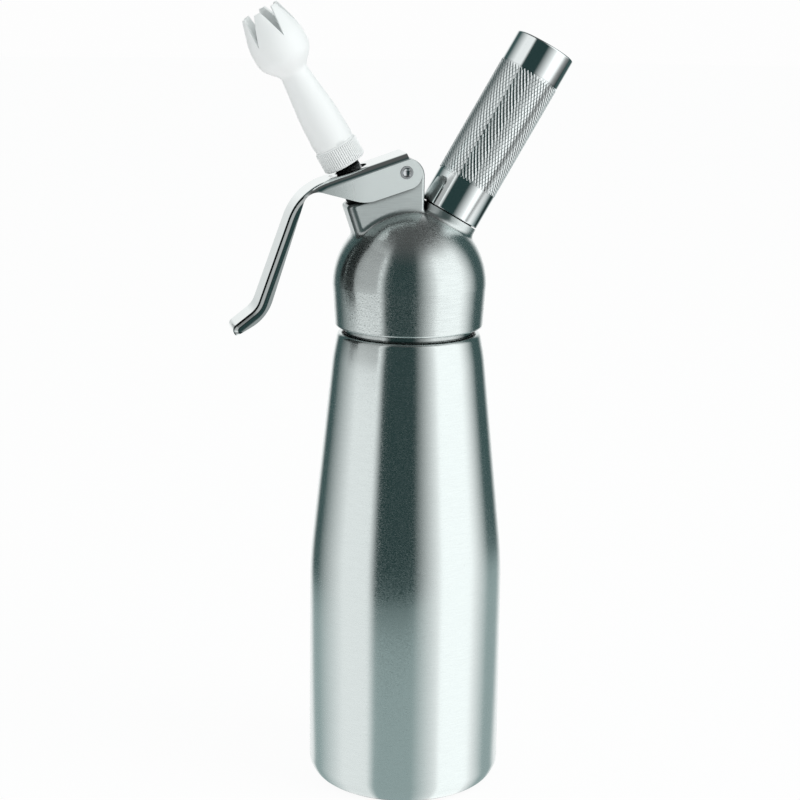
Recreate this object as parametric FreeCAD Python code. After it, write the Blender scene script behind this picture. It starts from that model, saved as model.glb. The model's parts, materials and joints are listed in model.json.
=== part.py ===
"""Whipped cream dispenser for half a litre.

An aluminium bottle carries a cast head. Two necks lean out of the head's dome: one holds the
outlet valve with its lever and a tulip tip, the other the charger under its screw-on holder.

Frame: millimetres, +Z up, origin on the bottle's axis in the plane that it stands on.
The charger leans toward +X, the outlet and the lever's handle toward -X.
"""

import FreeCAD, Part
import math
import os

# bottle
bottle_radius = 39.0
bottle_wall = 1.5
foot_corner_radius = 8.3
foot_recess_radius = 23.0
foot_recess_depth = 2.0
taper_start_z = 93.5
taper_top_z = 177.4
taper_top_radius = 30.2
taper_blend_radius = 200.0
shoulder_z = 187.0
shoulder_radius = 28.3
shoulder_rounding = 2.3
neck_radius = 25.6
neck_wall = 3.1
neck_height = 14.0

# head
head_gap = 2.2
head_radius = 30.4
head_centre_z = 206.0
head_rim_radius = 29.3
head_rim_rounding = 1.0
head_wall = 8.0
gasket_thickness = 2.5
gasket_lip = 0.2
branch_fillet = 2.5

# the two leaning necks start from one point on the bottle's axis, the outlet a little beside it
branch_z = 206.7
branch_tilt = 30.0
outlet_offset = 0.9

# lever, a pressed channel, in a frame of its own: along its plate and square to it from the pin
pin_x = -3.7
pin_z = 250.9
plate_slope = 18.5
plate_height = 6.9
plate_overhang = 2.6
lever_width = 20.0
lever_sheet = 1.5
lever_edge_rounding = 3.0
lever_bend_x = -45.5
lever_bend_radius = 24.0
handle_lean = 19.7
handle_flare_z = 198.6
handle_flare_lean = 52.0
handle_flare_radius = 9.0
handle_flare_length = 13.0
handle_end_depth = 3.0
handle_end_rounding = 2.6
handle_heel_depth = 4.6
handle_bend_depth = 2.9
handle_heel_drop = 3.4
handle_heel_rounding = 18.0
cheek_crest_z = 243.3
cheek_crest_rounding = 6.0
cheek_valley_x = -19.5
cheek_valley_z = 238.9
cheek_valley_rounding = 14.0
cheek_end_radius = 6.0
cheek_end_drop = 0.6
pin_radius = 2.45
pin_rim = 0.6
pin_proud = 0.2
pin_dish_depth = 0.9

# cast boss that carries the pin and the valve
boss_length = 25.9
boss_step = 5.5
boss_right_x = 4.0
boss_end_rounding = 3.2
boss_edge_rounding = 1.2
boss_shoulder_radius = 7.0
ear_length = 5.6
ear_rounding = 4.5

# outlet valve, along the outlet's axis from the branch point
stem_radius = 3.5
stem_bore_radius = 2.2
stem_thread_radius = 5.0
stem_thread_bore_radius = 3.0
stem_thread_length = 17.2
stem_end_wall = 2.7
stem_port_radius = 1.3
flange_top = 47.6
flange_radius = 7.0
flange_thickness = 1.3
seat_height = 26.0
chamber_radius = 6.6
seal_radius = 6.0
seal_thickness = 2.5
valve_head_thickness = 2.2
valve_screw_radius = 1.2
valve_screw_length = 1.8
valve_slot_width = 1.0
ring_wire = 1.9
ring_pocket_floor = 31.0
ring_pocket_depth = 2.0
bush_height = 5.2
bush_radius = 6.2
bush_floor = 1.6
bush_flange_radius = 6.9
bush_flange_height = 3.2
bush_cup_radius = 5.2
spring_wire = 1.0
spring_coils = 6
slot_gap = 0.4

# tulip tip
collar_bottom = 53.6
collar_radius = 8.6
collar_height = 8.7
tip_base_radius = 8.3
tip_barrel_radius = 7.7
tip_barrel_height = 76.0
tip_barrel_rounding = 60.0
tip_throat_radius = 5.5
tip_throat_height = 94.3
tip_wall = 1.9
tulip_radius = 11.05
tulip_wall = 1.2
tulip_height = 26.1
tulip_low_share = 0.23
tulip_high_share = 0.567
tulip_mouth_radius = 7.7
tulip_low_rounding = 8.0
tulip_high_rounding = 20.0
petal_count = 6
petal_phase = 13.0
petal_gap_width = 5.2
petal_gap_share = 0.44
tip_seal_thickness = 1.0

# charger side, along its axis from the branch point
charger_neck_top = 30.8
adapter_thread_radius = 10.3
adapter_thread_length = 13.2
adapter_stud_radius = 8.0
adapter_stud_length = 7.2
charger_socket_radius = 4.7
charger_socket_depth = 7.2
charger_seal_thickness = 1.1
pin_hole_radius = 1.5
needle_radius = 1.0
needle_bore_radius = 0.45
needle_reach = 1.8
check_chamber_radius = 4.0
check_chamber_depth = 7.4
check_disc_thickness = 1.4
retainer_thickness = 2.8
retainer_hole_radius = 1.6
charger_radius = 9.0
charger_length = 65.6
charger_wall = 1.2
charger_neck_radius = 4.3
charger_neck_bore = 3.1
charger_neck_length = 7.5
charger_shoulder_length = 9.0
charger_cap_thickness = 0.5
holder_radius = 12.4
holder_gap = 0.4
holder_end_wall = 2.6
holder_rounding = 0.7
holder_relief = 1.0

# clearances
thread_gap = 0.3
tip_thread_gap = 0.15
press_gap = 0.02
running_gap = 0.05
part_gap = 0.3
seal_gap = 0.05

ORIGIN = FreeCAD.Vector(0, 0, 0)
X_AXIS = FreeCAD.Vector(1, 0, 0)
Y_AXIS = FreeCAD.Vector(0, 1, 0)
Z_AXIS = FreeCAD.Vector(0, 0, 1)
SKIN_SIDE = FreeCAD.Vector(-1, 0, 0.5)

# places that several pieces share
neck_top_z = shoulder_z + neck_height
gasket_top_z = neck_top_z + gasket_thickness
head_rim_z = shoulder_z + head_gap
cavity_radius = head_radius - head_wall
tilt = math.radians(branch_tilt)
pin_side = pin_x * math.cos(tilt) + (pin_z - branch_z) * math.sin(tilt) - outlet_offset
neck_bore_radius = neck_radius - neck_wall
flange_bottom = flange_top - flange_thickness
valve_seal_bottom = seat_height - seal_thickness
bush_bottom = ring_pocket_floor + ring_pocket_depth
bush_shoulder = bush_bottom + bush_height
bush_top = bush_shoulder + bush_flange_height
stem_top = flange_top + stem_thread_length
tulip_low_height = tip_throat_height + tulip_height * tulip_low_share
tulip_high_height = tip_throat_height + tulip_height * tulip_high_share
tulip_top_height = tip_throat_height + tulip_height
adapter_top = charger_neck_top + adapter_thread_length
adapter_bottom = charger_neck_top - adapter_stud_length
socket_floor = adapter_top - charger_socket_depth
charger_start = socket_floor + charger_seal_thickness + seal_gap
charger_end = charger_start + charger_length
holder_bottom = charger_neck_top + holder_gap
holder_top = charger_end + part_gap + holder_end_wall


def rounded_wire(corners):
    """Closed wire in the XZ plane through corners (x, z, radius), each rounded by its radius."""
    count = len(corners)
    spans = []
    for i in range(count):
        x, z, radius = corners[i]
        here = FreeCAD.Vector(x, 0, z)
        before = FreeCAD.Vector(corners[i - 1][0], 0, corners[i - 1][1])
        after = FreeCAD.Vector(corners[(i + 1) % count][0], 0, corners[(i + 1) % count][1])
        if radius == 0:
            spans.append((here, None, here))
            continue
        back = (before - here).normalize()
        ahead = (after - here).normalize()
        half_angle = back.getAngle(ahead) / 2
        reach = radius / math.tan(half_angle)
        middle = (back + ahead).normalize()
        crown = here + middle * (radius / math.sin(half_angle) - radius)
        spans.append((here + back * reach, crown, here + ahead * reach))
    edges = []
    for i in range(count):
        start, crown, end = spans[i]
        if crown is not None:
            edges.append(Part.Arc(start, crown, end).toShape())
        following = spans[(i + 1) % count][0]
        if end.distanceToPoint(following) > 1e-6:
            edges.append(Part.LineSegment(end, following).toShape())
    return Part.Wire(edges)


def turned(corners):
    """Solid of revolution about Z of the outline with corners (radius, height, rounding)."""
    return Part.Face(rounded_wire(corners)).revolve(ORIGIN, Z_AXIS, 360)


def ring(outer, inner, bottom, top):
    """Plain ring about Z, or a disc when inner is 0."""
    body = Part.makeCylinder(outer, top - bottom, FreeCAD.Vector(0, 0, bottom), Z_AXIS)
    if inner == 0:
        return body
    return body.cut(Part.makeCylinder(inner, top - bottom, FreeCAD.Vector(0, 0, bottom), Z_AXIS))


def pressed(corners, width):
    """Block of the given width across Y, with the outline's corners (x, z, rounding)."""
    face = Part.Face(rounded_wire(corners))
    face.translate(FreeCAD.Vector(0, -width / 2, 0))
    return face.extrude(FreeCAD.Vector(0, width, 0))


def leaned(shape, tilt):
    """Shape made about Z, with heights from the branch point, tilted toward +X into its place."""
    placed = shape.copy()
    placed.rotate(ORIGIN, Y_AXIS, tilt)
    placed.translate(FreeCAD.Vector(0, 0, branch_z))
    return placed


def on_outlet(shape):
    placed = leaned(shape, -branch_tilt)
    placed.translate(FreeCAD.Vector(math.cos(tilt), 0, math.sin(tilt)) * outlet_offset)
    return placed


def on_charger(shape):
    return leaned(shape, branch_tilt)


def lever_point(along, above):
    """Point of the lever's frame, along its plate toward the handle and square above the pin."""
    slope = math.radians(plate_slope)
    x = pin_x - along * math.cos(slope) - above * math.sin(slope)
    z = pin_z - along * math.sin(slope) + above * math.cos(slope)
    return x, z


def is_at(edge, place):
    """True for an edge along Y whose side view is the given place."""
    middle = edge.CenterOfMass
    return abs(middle.x - place.x) < 0.01 and abs(middle.z - place.z) < 0.01


def make_bottle_shell():
    inner_radius = bottle_radius - bottle_wall
    floor_z = foot_recess_depth + bottle_wall
    return turned([
        (0, foot_recess_depth, 0),
        (foot_recess_radius - foot_recess_depth, foot_recess_depth, 1.0),
        (foot_recess_radius, 0, 1.0),
        (bottle_radius, 0, foot_corner_radius),
        (bottle_radius, taper_start_z, taper_blend_radius),
        (taper_top_radius, taper_top_z, taper_blend_radius / 3),
        (shoulder_radius, shoulder_z, shoulder_rounding),
        (neck_radius, shoulder_z, 0),
        (neck_radius, neck_top_z, 0.6),
        (neck_bore_radius, neck_top_z, 0.6),
        (neck_bore_radius, shoulder_z - neck_wall, 1.2),
        (shoulder_radius - bottle_wall, shoulder_z - neck_wall, shoulder_rounding),
        (taper_top_radius - bottle_wall, taper_top_z, taper_blend_radius / 3),
        (inner_radius, taper_start_z, taper_blend_radius),
        (inner_radius, floor_z, foot_corner_radius - bottle_wall),
        (0, floor_z, 0),
    ])


def make_head_gasket():
    outer = neck_radius + thread_gap - gasket_lip
    return ring(outer, neck_bore_radius, neck_top_z, gasket_top_z)


def is_boss_top(edge, width):
    """True for the long edges round the boss's top and its ear."""
    middle = edge.valueAt((edge.FirstParameter + edge.LastParameter) / 2)
    slope = math.radians(plate_slope)
    above = (middle.z - pin_z) * math.cos(slope) - (middle.x - pin_x) * math.sin(slope)
    return abs(abs(middle.y) - width / 2) < 0.01 and above > -boss_step - 0.01


def make_boss():
    """Cast block between the lever's cheeks, with the ear for the pin at its right end."""
    width = lever_width - 2 * lever_sheet - 2 * part_gap
    ear_height = plate_height - lever_sheet - part_gap
    top_left = lever_point(boss_length, -boss_step)
    low_left = lever_point(boss_length, boss_step - head_radius)
    ear_left = lever_point(ear_length, ear_height)
    ear_foot = lever_point(ear_length, -boss_step)
    slope = math.tan(math.radians(plate_slope))
    ear_right_z = ear_left[1] + (boss_right_x - ear_left[0]) * slope
    block = pressed([
        (*top_left, 0),
        (*low_left, 0),
        (boss_right_x, branch_z + stem_radius, 0),
        (boss_right_x, ear_right_z, boss_shoulder_radius),
        (*ear_left, ear_rounding),
        (*ear_foot, 2.0),
    ], width)
    middle = FreeCAD.Vector((top_left[0] + low_left[0]) / 2, 0, (top_left[1] + low_left[1]) / 2)
    ends = [edge for edge in block.Edges if is_at(edge, middle)]
    rounded = block.makeFillet(boss_end_rounding, ends)
    return rounded.makeFillet(boss_edge_rounding, [e for e in rounded.Edges if is_boss_top(e, width)])


def is_on_dome(edge):
    """True for an edge where a branch meets the dome, and not for the dome's own seam, rim and pole."""
    if edge.Degenerated:
        return False
    centre = FreeCAD.Vector(0, 0, head_centre_z)
    middle = edge.valueAt((edge.FirstParameter + edge.LastParameter) / 2)
    is_great_circle = hasattr(edge.Curve, "Center") and edge.Curve.Center.distanceToPoint(centre) < 0.01
    return abs(middle.distanceToPoint(centre) - head_radius) < 0.01 and not is_great_circle


def blended_into(dome, branch):
    """The dome with one branch on it and the cast fillet where they meet."""
    whole = dome.fuse(branch).removeSplitter()
    return whole.makeFillet(branch_fillet, [edge for edge in whole.Edges if is_on_dome(edge)])


def make_head_outside():
    skirt = turned([
        (0, head_rim_z, 0),
        (head_rim_radius, head_rim_z, head_rim_rounding),
        (head_radius, head_centre_z, 0),
        (0, head_centre_z, 0),
    ])
    dome = Part.makeSphere(head_radius, FreeCAD.Vector(0, 0, head_centre_z), Z_AXIS, 0, 90, 360)
    neck_bar = on_charger(ring(holder_radius, 0, branch_tilt / 2, charger_neck_top + holder_radius))
    above_neck = on_charger(ring(2 * holder_radius, 0, charger_neck_top, holder_top))
    with_neck = blended_into(dome, neck_bar).cut(above_neck)
    return skirt.fuse([blended_into(dome, make_boss()), with_neck]).removeSplitter()


def make_head_casting():
    neck_room = ring(neck_radius + thread_gap, 0, head_rim_z, gasket_top_z)
    cavity = Part.makeSphere(cavity_radius, FreeCAD.Vector(0, 0, branch_z))
    chamber = ring(chamber_radius, 0, seat_height - seal_radius, seat_height)
    guide = ring(stem_radius + running_gap * 2, 0, seat_height, ring_pocket_floor)
    ring_pocket = ring(stem_radius + ring_wire + 2 * seal_gap, 0, ring_pocket_floor, bush_bottom)
    bush_pocket = ring(bush_radius + seal_gap, 0, bush_bottom, bush_shoulder)
    spot_face = ring(bush_flange_radius + seal_gap * 2, 0, bush_shoulder, flange_bottom)
    adapter_hole = ring(adapter_stud_radius + seal_gap, 0, branch_tilt / 2, charger_neck_top)
    pin_hole = Part.makeCylinder(pin_radius, lever_width, FreeCAD.Vector(pin_x, -lever_width / 2, pin_z), Y_AXIS)
    outlet = [on_outlet(cut) for cut in (chamber, guide, ring_pocket, bush_pocket, spot_face)]
    return make_head_outside().cut([neck_room, cavity, on_charger(adapter_hole), pin_hole] + outlet)


def skin_corners():
    """Corners of the lever's skin seen from the side: free end, bend, flare and the handle's end."""
    slope = math.tan(math.radians(plate_slope))
    lean = math.tan(math.radians(handle_lean))
    flare = math.radians(handle_flare_lean)
    free_x, free_z = lever_point(-plate_overhang, plate_height)
    bend_z = free_z + (lever_bend_x - free_x) * slope
    flare_x = lever_bend_x - (bend_z - handle_flare_z) * lean
    tip_x = flare_x - handle_flare_length * math.sin(flare)
    tip_z = handle_flare_z - handle_flare_length * math.cos(flare)
    low_x = tip_x + handle_end_depth * math.cos(flare)
    low_z = tip_z - handle_end_depth * math.sin(flare)
    return [
        (free_x, free_z, 0),
        (lever_bend_x, bend_z, lever_bend_radius),
        (flare_x, handle_flare_z, handle_flare_radius),
        (tip_x, tip_z, handle_end_rounding),
        (low_x, low_z, 0),
    ]


def edge_corners():
    """Corners of the channel's free edge, from the handle's end back to the cheek's round end."""
    bend_x, bend_z = skin_corners()[1][:2]
    lean = math.radians(handle_lean)
    heel_z = handle_flare_z - handle_heel_drop
    heel_x = bend_x - (bend_z - heel_z) * math.tan(lean) + handle_heel_depth / math.cos(lean)
    crest_z = cheek_crest_z + cheek_crest_rounding / 4
    crest_x = bend_x - (bend_z - crest_z) * math.tan(lean) + handle_bend_depth / math.cos(lean)
    cheek_low = lever_point(0, -cheek_end_radius - cheek_end_drop)
    cheek_middle = lever_point(-plate_overhang, 0)
    return [
        (heel_x, heel_z, handle_heel_rounding),
        (crest_x, crest_z, cheek_crest_rounding),
        (cheek_valley_x, cheek_valley_z, cheek_valley_rounding),
        (*cheek_low, 0),
        (*cheek_middle, 0),
    ]


def is_skin_edge(block, edge, width):
    """True for the block's long edges where its skin turns down into the cheeks and flanges."""
    middle = edge.valueAt((edge.FirstParameter + edge.LastParameter) / 2)
    if abs(abs(middle.y) - width / 2) > 0.01:
        return False
    probe = FreeCAD.Vector(middle.x, middle.y * 0.98, middle.z) + SKIN_SIDE * (lever_sheet / 10)
    return not block.isInside(probe, 1e-6, True)


def with_rounded_skin(block, width, radius):
    return block.makeFillet(radius, [edge for edge in block.Edges if is_skin_edge(block, edge, width)])


def make_lever_outside():
    """The lever as a full block: its side view with the round cheek ends about the pin."""
    block = pressed(skin_corners() + edge_corners(), lever_width)
    end_x, end_z = lever_point(0, -cheek_end_drop)
    start = FreeCAD.Vector(end_x, -lever_width / 2, end_z)
    cheek_end = Part.makeCylinder(cheek_end_radius, lever_width, start, Y_AXIS)
    whole = block.fuse(cheek_end).removeSplitter()
    return with_rounded_skin(whole, lever_width, lever_edge_rounding)


def make_lever_inside():
    """Room under the sheet: the skin's corners moved in by the sheet, open on every other side."""
    corners = skin_corners()
    points = [FreeCAD.Vector(x, 0, z) for x, z, _ in corners]
    runs = [(points[i + 1] - points[i]).normalize() for i in range(len(points) - 1)]
    inward = [FreeCAD.Vector(-run.z, 0, run.x) for run in runs]
    room = [points[0] - runs[0] * lever_width + inward[0] * lever_sheet]
    for i in range(1, len(points) - 1):
        both = inward[i - 1] + inward[i]
        room.append(points[i] + both * (lever_sheet / (1 + inward[i - 1].dot(inward[i]))))
    room.append(points[-1] + runs[-1] * lever_width + inward[-1] * lever_sheet)
    room.append(FreeCAD.Vector(room[0].x, 0, room[-1].z))
    radii = [0, lever_bend_radius - lever_sheet, handle_flare_radius + lever_sheet,
             handle_end_rounding - lever_sheet, 0, 0]
    inner_width = lever_width - 2 * lever_sheet
    block = pressed([(point.x, point.z, radius) for point, radius in zip(room, radii)], inner_width)
    return with_rounded_skin(block, inner_width, lever_edge_rounding - lever_sheet)


def make_slot():
    """Slot for the outlet's thread, as long as the plate needs while the lever turns."""
    slope = math.radians(branch_tilt - plate_slope)
    rest_side = (pin_side + plate_height * math.sin(slope)) / math.cos(slope)
    radius = stem_thread_radius + slot_gap
    near = pin_side - stem_thread_radius - slot_gap + radius
    far = rest_side + stem_thread_radius / math.cos(slope) + slot_gap - radius
    near_end = Part.makeCylinder(radius, plate_height, FreeCAD.Vector(-near, 0, 1), Z_AXIS)
    far_end = Part.makeCylinder(radius, plate_height, FreeCAD.Vector(-far, 0, 1), Z_AXIS)
    middle = Part.makeBox(far - near, 2 * radius, plate_height, FreeCAD.Vector(-far, -radius, 1))
    slot = near_end.fuse([far_end, middle])
    slot.rotate(ORIGIN, Y_AXIS, -plate_slope)
    slot.translate(FreeCAD.Vector(pin_x, 0, pin_z))
    return slot


def make_lever():
    start = FreeCAD.Vector(pin_x, -lever_width, pin_z)
    pin_holes = Part.makeCylinder(pin_radius + running_gap, 2 * lever_width, start, Y_AXIS)
    return make_lever_outside().cut([make_lever_inside(), pin_holes, make_slot()])


def make_lever_pin():
    """Headless rivet pin with a spun dish in each end."""
    length = lever_width + 2 * pin_proud
    pin = Part.makeCylinder(pin_radius, length, FreeCAD.Vector(pin_x, -length / 2, pin_z), Y_AXIS)
    rim = pin_radius - pin_rim
    sphere_radius = (rim ** 2 + pin_dish_depth ** 2) / (2 * pin_dish_depth)
    reach = length / 2 + sphere_radius - pin_dish_depth
    dishes = [Part.makeSphere(sphere_radius, FreeCAD.Vector(pin_x, side * reach, pin_z)) for side in (-1, 1)]
    return pin.cut(dishes)


def make_valve_stem():
    """Hollow stem: closed foot with ports, thrust flange under the lever, thread for the tip."""
    screw_hole = valve_screw_radius + seal_gap
    screw_top = valve_seal_bottom + valve_screw_length + seal_gap
    bore_bottom = valve_seal_bottom + stem_end_wall
    stem = turned([
        (0, screw_top, 0),
        (screw_hole, screw_top, 0),
        (screw_hole, valve_seal_bottom, 0),
        (stem_radius, valve_seal_bottom, 0),
        (stem_radius, flange_bottom, 0),
        (flange_radius, flange_bottom, 0.3),
        (flange_radius, flange_top, 0.3),
        (stem_thread_radius, flange_top, 0),
        (stem_thread_radius, stem_top, 0.6),
        (stem_thread_bore_radius, stem_top, 0.3),
        (stem_thread_bore_radius, flange_bottom, 0),
        (stem_bore_radius, flange_bottom - stem_thread_bore_radius + stem_bore_radius, 0),
        (stem_bore_radius, bore_bottom, 0),
        (0, bore_bottom, 0),
    ])
    port_height = seat_height + stem_port_radius + seal_gap * 6
    ports = []
    for direction in (X_AXIS, Y_AXIS):
        start = direction * -stem_thread_radius + FreeCAD.Vector(0, 0, port_height)
        ports.append(Part.makeCylinder(stem_port_radius, 2 * stem_thread_radius, start, direction))
    return on_outlet(stem.cut(ports))


def make_valve_head():
    """Slotted screw whose head carries the valve's seal."""
    bottom = valve_seal_bottom - valve_head_thickness
    screw = turned([
        (0, bottom, 0),
        (seal_radius, bottom, 0.5),
        (seal_radius, valve_seal_bottom, 0),
        (valve_screw_radius, valve_seal_bottom, 0),
        (valve_screw_radius, valve_seal_bottom + valve_screw_length, 0),
        (0, valve_seal_bottom + valve_screw_length, 0),
    ])
    corner = FreeCAD.Vector(-seal_radius, -valve_slot_width / 2, bottom)
    slot = Part.makeBox(2 * seal_radius, valve_slot_width, valve_head_thickness / 2, corner)
    return on_outlet(screw.cut(slot))


def make_valve_seal():
    return on_outlet(ring(seal_radius, stem_radius + seal_gap, valve_seal_bottom, seat_height))


def make_stem_o_ring():
    height = ring_pocket_floor + ring_pocket_depth / 2
    middle = stem_radius + seal_gap + ring_wire / 2
    return on_outlet(Part.makeTorus(middle, ring_wire / 2, FreeCAD.Vector(0, 0, height), Z_AXIS))


def make_guide_bush():
    """Flanged plastic cup that guides the stem and seats its spring."""
    hole = stem_radius + 2 * running_gap
    return on_outlet(turned([
        (hole, bush_bottom, 0),
        (bush_radius, bush_bottom, 0.4),
        (bush_radius, bush_shoulder, 0),
        (bush_flange_radius, bush_shoulder, 0),
        (bush_flange_radius, bush_top, 0.5),
        (bush_cup_radius, bush_top, 0.5),
        (bush_cup_radius, bush_bottom + bush_floor, 0),
        (hole, bush_bottom + bush_floor, 0),
    ]))


def make_valve_spring():
    seat = bush_bottom + bush_floor
    middle = stem_radius + part_gap + spring_wire / 2
    length = flange_bottom - seat - spring_wire
    coil = Part.makeHelix(length / spring_coils, length, middle)
    coil.translate(FreeCAD.Vector(0, 0, seat + spring_wire / 2))
    start = FreeCAD.Vector(middle, 0, seat + spring_wire / 2)
    section = Part.Wire(Part.Circle(start, Y_AXIS, spring_wire / 2).toShape())
    return on_outlet(Part.Wire(coil).makePipeShell([section], True, True))


def make_petal_gaps():
    """V-shaped gaps between the petals, each cut through from one side to the other."""
    gap_depth = tulip_height * petal_gap_share
    gap_low = tulip_top_height - gap_depth
    over = tulip_top_height + tulip_wall
    half = petal_gap_width / 2 * (over - gap_low) / gap_depth
    reach = tulip_radius + tulip_wall
    gaps = []
    for i in range(petal_count // 2):
        wedge = pressed([(0, gap_low, 0), (half, over, 0), (-half, over, 0)], 2 * reach)
        wedge.rotate(ORIGIN, Z_AXIS, petal_phase + 360 / petal_count * i)
        gaps.append(wedge)
    return gaps


def make_decorating_tip():
    bore = stem_thread_radius + tip_thread_gap
    throat_bore = tip_throat_radius - tip_wall
    seal_top = stem_top + tip_seal_thickness
    channel_start = seal_top + tip_wall
    tip = turned([
        (bore, collar_bottom, 0),
        (collar_radius, collar_bottom, 0.5),
        (collar_radius, collar_bottom + collar_height, 0.2),
        (tip_base_radius, collar_bottom + collar_height, 0),
        (tip_barrel_radius, tip_barrel_height, tip_barrel_rounding),
        (tip_throat_radius, tip_throat_height, 3.0),
        (tulip_radius, tulip_low_height, tulip_low_rounding),
        (tulip_radius, tulip_high_height, tulip_high_rounding),
        (tulip_mouth_radius, tulip_top_height, 0),
        (tulip_mouth_radius - tulip_wall, tulip_top_height, 0),
        (tulip_radius - tulip_wall, tulip_high_height, tulip_high_rounding),
        (tulip_radius - tulip_wall, tulip_low_height + tulip_wall, tulip_low_rounding),
        (throat_bore, tip_throat_height, 3.0),
        (tip_base_radius - tip_wall - 1, channel_start + tip_wall, 0),
        (stem_thread_bore_radius, channel_start, 0),
        (stem_thread_bore_radius, seal_top, 0),
        (bore, seal_top, 0),
    ])
    return on_outlet(tip.cut(make_petal_gaps()))


def make_tip_seal():
    return on_outlet(ring(stem_thread_radius, stem_thread_bore_radius, stem_top, stem_top + tip_seal_thickness))


def make_charger_adapter():
    """Brass nipple: stud into the head, thread for the holder, socket for the charger's neck."""
    chamber_top = adapter_bottom + check_chamber_depth
    return on_charger(turned([
        (check_chamber_radius, adapter_bottom, 0),
        (adapter_stud_radius, adapter_bottom, 0.5),
        (adapter_stud_radius, charger_neck_top, 0),
        (adapter_thread_radius, charger_neck_top, 0),
        (adapter_thread_radius, adapter_top, 0.8),
        (charger_socket_radius, adapter_top, 0.4),
        (charger_socket_radius, socket_floor, 0),
        (pin_hole_radius, socket_floor, 0),
        (pin_hole_radius, chamber_top, 0),
        (check_chamber_radius, chamber_top, 0),
    ]))


def make_piercing_pin():
    """Hollow needle on a shank that is pressed into the adapter."""
    shank = pin_hole_radius - press_gap
    bottom = adapter_bottom + check_chamber_depth + part_gap
    point = charger_start + needle_reach
    return on_charger(turned([
        (needle_bore_radius, bottom, 0),
        (shank, bottom, 0.2),
        (shank, socket_floor, 0),
        (needle_radius, socket_floor, 0),
        (needle_radius, point - needle_radius, 0),
        (needle_bore_radius, point, 0),
    ]))


def make_charger_seal():
    outer = charger_socket_radius - seal_gap
    return on_charger(ring(outer, charger_neck_bore - press_gap, socket_floor, socket_floor + charger_seal_thickness))


def make_check_valve():
    """Rubber mushroom that gas lifts off the adapter's hole on its way into the head."""
    top = adapter_bottom + check_chamber_depth
    bottom = top - check_disc_thickness
    lip = check_chamber_radius * 0.85
    return on_charger(turned([
        (0, bottom, 0),
        (retainer_hole_radius * 1.5, bottom, 0.2),
        (lip, top - check_disc_thickness / 2, 0),
        (lip, top, 0),
        (0, top, 0),
    ]))


def make_check_valve_retainer():
    top = adapter_bottom + check_chamber_depth - check_disc_thickness
    outer = check_chamber_radius - seal_gap
    return on_charger(ring(outer, retainer_hole_radius, top - retainer_thickness, top))


def make_charger_cylinder():
    """Steel charger, neck toward the head, with a round far end."""
    neck_end = charger_start + charger_neck_length
    shoulder_end = neck_end + charger_shoulder_length
    body_bore = charger_radius - charger_wall
    end_rounding = charger_radius - press_gap * 5
    return on_charger(turned([
        (charger_neck_bore, charger_start, 0),
        (charger_neck_radius, charger_start, 0.4),
        (charger_neck_radius, neck_end, 4.0),
        (charger_radius, shoulder_end, 10.0),
        (charger_radius, charger_end, end_rounding),
        (0, charger_end, 0),
        (0, charger_end - charger_wall, 0),
        (body_bore, charger_end - charger_wall, end_rounding - charger_wall),
        (body_bore, shoulder_end, 10.0),
        (charger_neck_bore, neck_end, 4.0),
    ]))


def make_charger_cap():
    """Pierced steel disc that closes the charger's neck."""
    bottom = charger_start + seal_gap
    hole = needle_radius + running_gap * 4
    return on_charger(ring(charger_neck_bore - press_gap, hole, bottom, bottom + charger_cap_thickness))


def make_charger_holder():
    """Deep screw cap over the charger, closed at its far end."""
    bore = charger_radius + part_gap
    thread_bore = adapter_thread_radius + thread_gap
    thread_end = adapter_top + holder_relief
    end_rounding = charger_radius - press_gap * 5 + part_gap
    return on_charger(turned([
        (thread_bore, holder_bottom, 0.3),
        (holder_radius, holder_bottom, holder_rounding / 2),
        (holder_radius, holder_top, holder_rounding),
        (0, holder_top, 0),
        (0, charger_end + part_gap, 0),
        (bore, charger_end + part_gap, end_rounding - press_gap),
        (bore, thread_end + thread_bore - bore, 0),
        (thread_bore, thread_end, 0),
    ]))


PIECES = {
    "bottle_shell": make_bottle_shell,
    "head_gasket": make_head_gasket,
    "head_casting": make_head_casting,
    "lever": make_lever,
    "lever_pin": make_lever_pin,
    "valve_stem": make_valve_stem,
    "valve_head": make_valve_head,
    "valve_seal": make_valve_seal,
    "stem_o_ring": make_stem_o_ring,
    "guide_bush": make_guide_bush,
    "valve_spring": make_valve_spring,
    "decorating_tip": make_decorating_tip,
    "tip_seal": make_tip_seal,
    "charger_adapter": make_charger_adapter,
    "piercing_pin": make_piercing_pin,
    "charger_seal": make_charger_seal,
    "check_valve": make_check_valve,
    "check_valve_retainer": make_check_valve_retainer,
    "charger_cylinder": make_charger_cylinder,
    "charger_cap": make_charger_cap,
    "charger_holder": make_charger_holder,
}


def only_solid(shape):
    """The one solid of a piece, freed from the compound that a cut or a fuse leaves round it."""
    if len(shape.Solids) != 1:
        raise ValueError("a piece must be one solid")
    return shape.Solids[0]


def main():
    os.makedirs("parts", exist_ok=True)
    for name, make in PIECES.items():
        piece = only_solid(make())
        piece.exportStep(os.path.join("parts", name + ".step"))
        print(name, round(piece.Volume, 1), piece.isValid())


main()
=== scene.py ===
"""Whipped cream dispenser: finishes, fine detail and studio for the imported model.

Every length is in metres, in the model's own frame. The sizes that a user would change are in
DispenserSizes, the colours in DispenserColours, and each operator makes one group of pieces.
"""

import json
import math

import bmesh
import bpy
from mathutils import Matrix, Vector


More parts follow.
